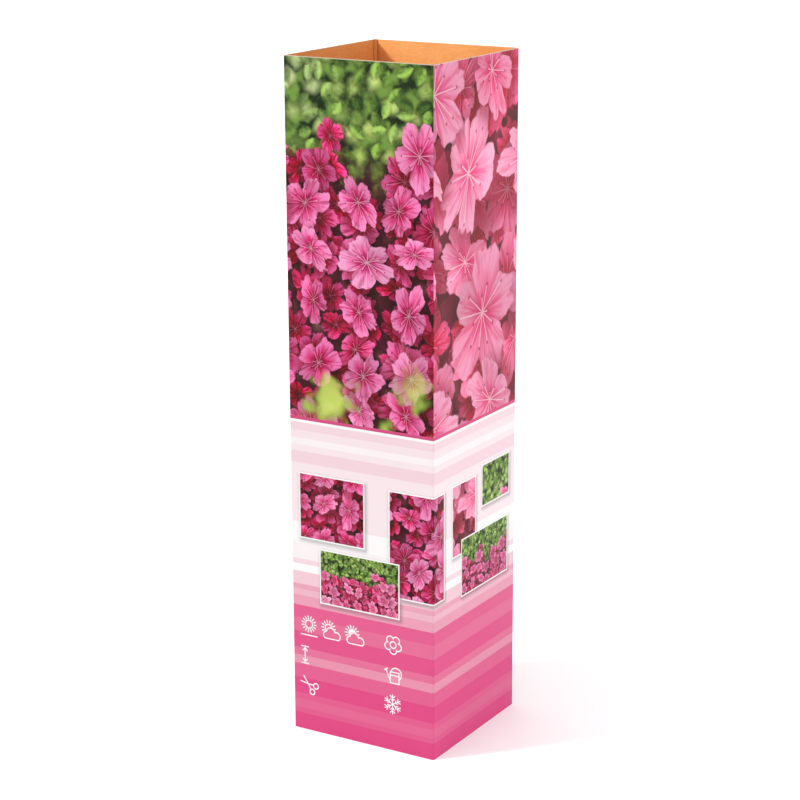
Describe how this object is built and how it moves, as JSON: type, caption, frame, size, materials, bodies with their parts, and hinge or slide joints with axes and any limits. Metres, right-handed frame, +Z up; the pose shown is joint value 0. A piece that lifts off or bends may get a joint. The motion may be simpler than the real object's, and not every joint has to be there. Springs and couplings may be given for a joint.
{
  "type": "open-topped plant carton",
  "caption": "Tall square open-topped cardboard carton for a potted shrub, printed on all walls, standing on a folded snap-lock base.",
  "frame": {"origin": "middle of the square footprint, on the floor that the carton stands on", "axes": "+Z up the tube to the open rim, -Y out of the front wall, +X out of the right wall"},
  "size_m": [0.12, 0.12, 0.498],
  "materials": {
    "front_print": "coated board, printed in pinks and greens, satin varnish",
    "side_print": "coated board, printed in paler pinks, satin varnish",
    "bare_kraft": "uncoated brown kraft liner, matt and fibrous"
  },
  "bodies": {
    "root": {"front_wall": "front_print", "right_wall": "side_print", "back_wall": "front_print", "left_wall": "side_print", "glue_flap": "bare_kraft", "base_flap_back": "bare_kraft", "base_flap_left": "bare_kraft", "base_flap_right": "bare_kraft", "base_flap_front": "bare_kraft"}
  },
  "joints": []
}
